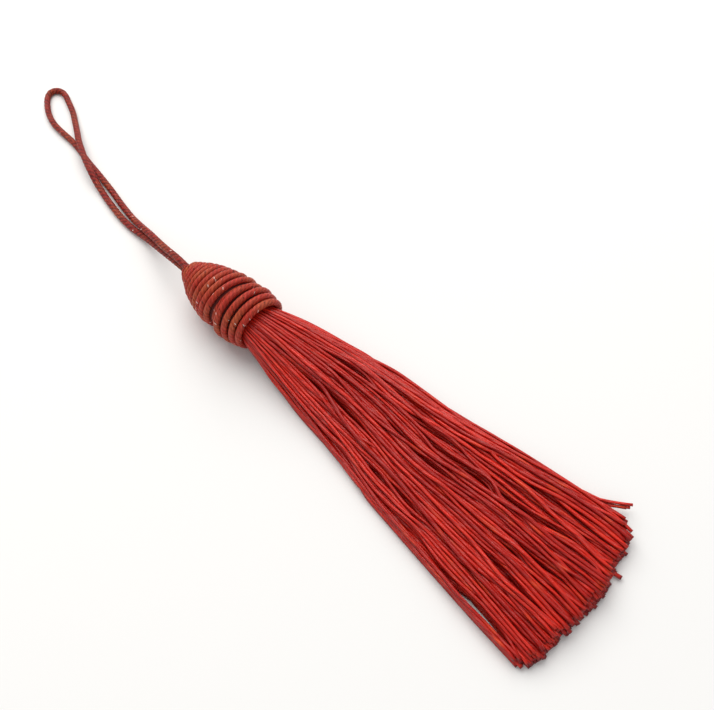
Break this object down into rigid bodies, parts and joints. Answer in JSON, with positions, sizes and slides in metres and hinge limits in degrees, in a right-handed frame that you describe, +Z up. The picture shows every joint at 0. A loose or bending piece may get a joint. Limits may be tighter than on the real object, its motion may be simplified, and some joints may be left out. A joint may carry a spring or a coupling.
{
  "type": "silk tassel",
  "caption": "Silk tassel with a hanging loop of thin cord, a cord-wound egg-shaped head and a fanned skirt of twisted strands, lying on a flat surface.",
  "frame": {"origin": "on the surface the tassel lies on, under the middle of the head and skirt", "axes": "+X from the head towards the skirt's cut end, +Z up"},
  "size_m": [0.1573, 0.0344, 0.0117],
  "materials": {
    "loop_cord": "flecked twisted silk cord",
    "head_cord": "flecked twisted silk cord, wound",
    "skirt_silk": "shiny twisted silk strands"
  },
  "bodies": {
    "root": {"hanging_loop": "loop_cord", "head_winding": "head_cord", "skirt_strands": "skirt_silk"}
  },
  "joints": []
}
